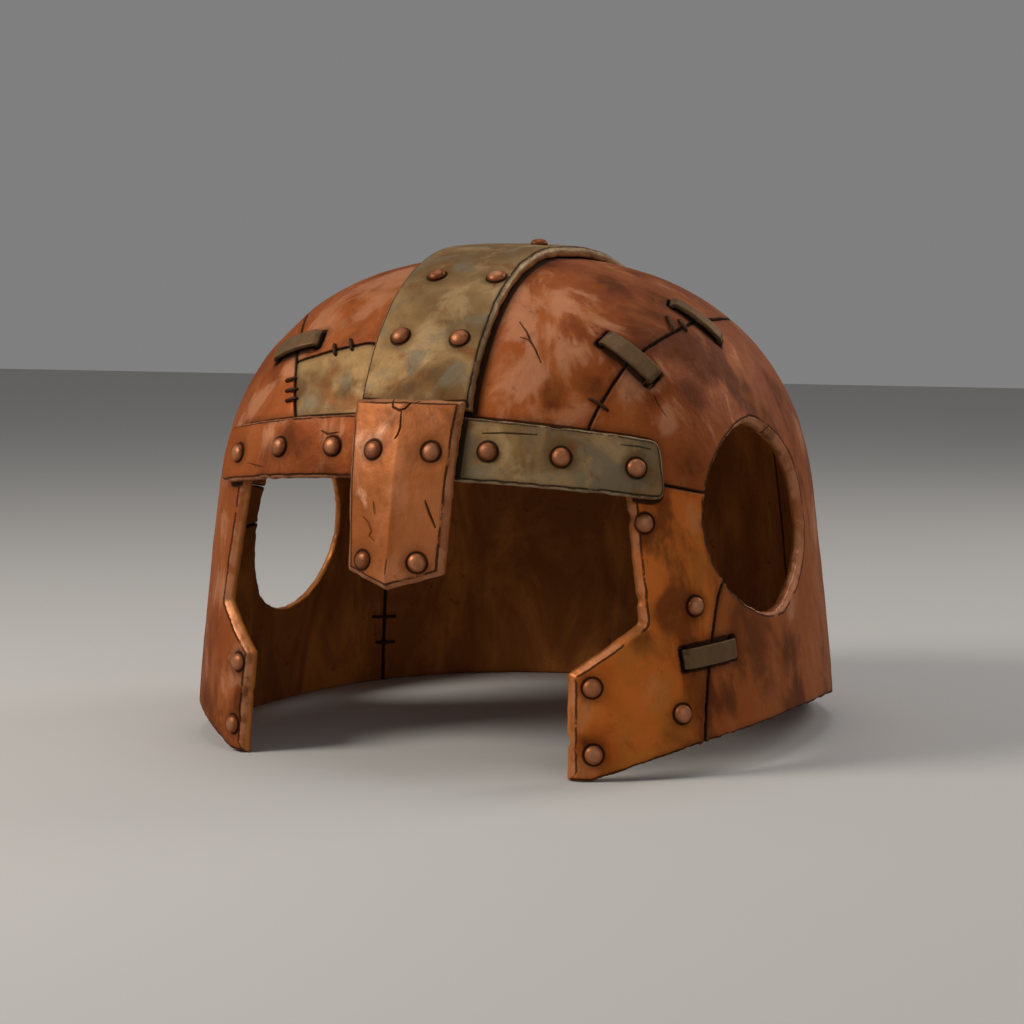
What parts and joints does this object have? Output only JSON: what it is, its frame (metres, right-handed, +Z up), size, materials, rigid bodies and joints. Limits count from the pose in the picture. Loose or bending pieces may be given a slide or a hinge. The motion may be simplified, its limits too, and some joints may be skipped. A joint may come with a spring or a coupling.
{
  "type": "riveted helmet",
  "caption": "Open-faced helmet patched together from riveted copper and bronze plates, with a crest band, brow plates, a nasal plate, cheek plates and ear openings",
  "frame": {"origin": "bottom centre of the bounds, on the floor that the rim stands on", "axes": "+Z up to the crown, -Y out of the face, +X the wearer's left; it is longest from front to back, along Y"},
  "size_m": [0.2486, 0.2696, 0.2005],
  "materials": {
    "copper": "aged copper, tarnished dark brown",
    "bronze": "aged bronze, olive and brown patina",
    "rivet_copper": "worn copper, satin",
    "staple_bronze": "dull grey bronze"
  },
  "bodies": {
    "root": {"back_plate": "copper", "brow_patch": "bronze", "brow_plate_left": "bronze", "brow_plate_right": "copper", "cheek_plate_left": "copper", "cheek_plate_right": "copper", "crest_band": "bronze", "crown_plate_left": "copper", "crown_plate_right": "copper", "nasal_plate": "copper", "rivet_brow_left_1": "rivet_copper", "rivet_brow_left_2": "rivet_copper", "rivet_brow_left_3": "rivet_copper", "rivet_brow_right_1": "rivet_copper", "rivet_brow_right_2": "rivet_copper", "rivet_brow_right_3": "rivet_copper", "rivet_cheek_left_1": "rivet_copper", "rivet_cheek_left_2": "rivet_copper", "rivet_cheek_left_3": "rivet_copper", "rivet_cheek_left_4": "rivet_copper", "rivet_cheek_left_5": "rivet_copper", "rivet_cheek_right_1": "rivet_copper", "rivet_cheek_right_2": "rivet_copper", "rivet_crest_1": "rivet_copper", "rivet_crest_10": "rivet_copper", "rivet_crest_11": "rivet_copper", "rivet_crest_12": "rivet_copper", "rivet_crest_2": "rivet_copper", "rivet_crest_3": "rivet_copper", "rivet_crest_4": "rivet_copper", "rivet_crest_5": "rivet_copper", "rivet_crest_6": "rivet_copper", "rivet_crest_7": "rivet_copper", "rivet_crest_8": "rivet_copper", "rivet_crest_9": "rivet_copper", "rivet_nasal_lower_left": "rivet_copper", "rivet_nasal_lower_right": "rivet_copper", "rivet_nasal_upper_left": "rivet_copper", "rivet_nasal_upper_right": "rivet_copper", "side_plate_left": "copper", "side_plate_right": "copper", "staple_left_cheek": "staple_bronze", "staple_left_front": "staple_bronze", "staple_left_top": "staple_bronze", "staple_right_front": "staple_bronze", "staple_right_top": "staple_bronze"}
  },
  "joints": []
}
